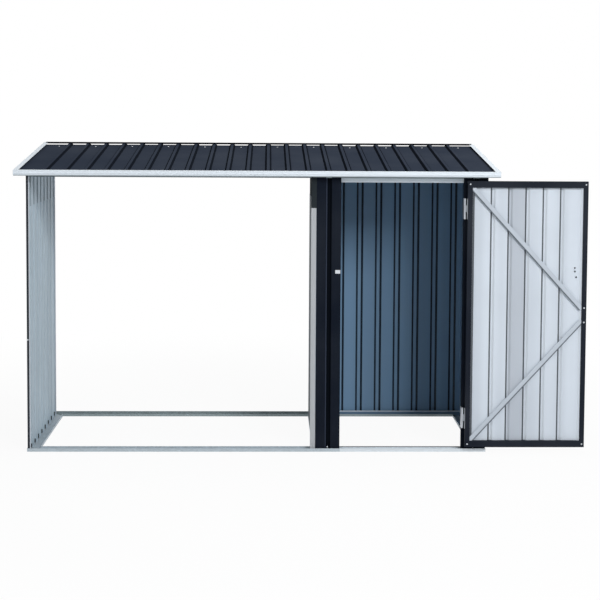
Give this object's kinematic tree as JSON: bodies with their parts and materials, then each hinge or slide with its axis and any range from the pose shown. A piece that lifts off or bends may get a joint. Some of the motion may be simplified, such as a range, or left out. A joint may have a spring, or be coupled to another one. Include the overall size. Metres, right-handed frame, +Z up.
{
  "type": "steel log store with tool closet",
  "caption": "Garden store of ribbed steel sheet: an open log bay beside a closet with one hinged door, under a roof that slopes to the front.",
  "frame": {"origin": "on the ground, at the middle of the front sill's underside", "axes": "+X to the right along the front, +Y from the front to the back, +Z up"},
  "size_m": [2.8952, 0.9738, 1.5575],
  "materials": {
    "galvanised_steel": "bare galvanised sheet, satin",
    "two_tone_sheet": "anthracite coat outside, pale grey back coat inside",
    "roof_sheet": "anthracite coat, satin",
    "dark_frame": "near-black coat, satin",
    "white_trim": "white coat, satin",
    "zinc_plate": "zinc plated",
    "black_handle": "black coat, semi-gloss"
  },
  "bodies": {
    "shed": {"back_wall": "two_tone_sheet", "centre_pillar": "dark_frame", "divider_gable": "two_tone_sheet", "divider_sill": "galvanised_steel", "divider_top_rail": "galvanised_steel", "divider_wall": "two_tone_sheet", "door_header": "galvanised_steel", "front_fascia": "white_trim", "front_sill": "galvanised_steel", "front_top_rail": "galvanised_steel", "keeper_plate": "zinc_plate", "left_front_post": "dark_frame", "left_gable": "two_tone_sheet", "left_rake_trim": "white_trim", "left_rear_post": "dark_frame", "left_sill": "galvanised_steel", "left_top_rail": "galvanised_steel", "left_wall": "two_tone_sheet", "lower_hinge_pillar_leaf": "zinc_plate", "middle_roof_rail": "galvanised_steel", "rear_sill": "galvanised_steel", "rear_top_rail": "galvanised_steel", "rear_trim": "roof_sheet", "right_gable": "two_tone_sheet", "right_pillar": "dark_frame", "right_rake_trim": "white_trim", "right_sill": "galvanised_steel", "right_top_rail": "galvanised_steel", "right_wall": "two_tone_sheet", "roof_sheet_1": "roof_sheet", "roof_sheet_2": "roof_sheet", "roof_sheet_3": "roof_sheet", "roof_sheet_4": "roof_sheet", "roof_sheet_5": "roof_sheet", "roof_sheet_6": "roof_sheet", "upper_hinge_pillar_leaf": "zinc_plate"},
    "door": {"door_bottom_rail": "dark_frame", "door_free_stile": "dark_frame", "door_handle": "black_handle", "door_hinge_stile": "dark_frame", "door_lower_brace": "zinc_plate", "door_panel": "two_tone_sheet", "door_top_rail": "dark_frame", "door_upper_brace": "zinc_plate", "lower_hinge_door_leaf": "zinc_plate", "upper_hinge_door_leaf": "zinc_plate"}
  },
  "joints": [
    {"name": "door_hinge", "type": "hinge", "parent": "shed", "child": "door", "pos_m": [1.0488, -0.036, 0.7], "axis": [0, 0, 1], "range_deg": [-180, 0]}
  ]
}
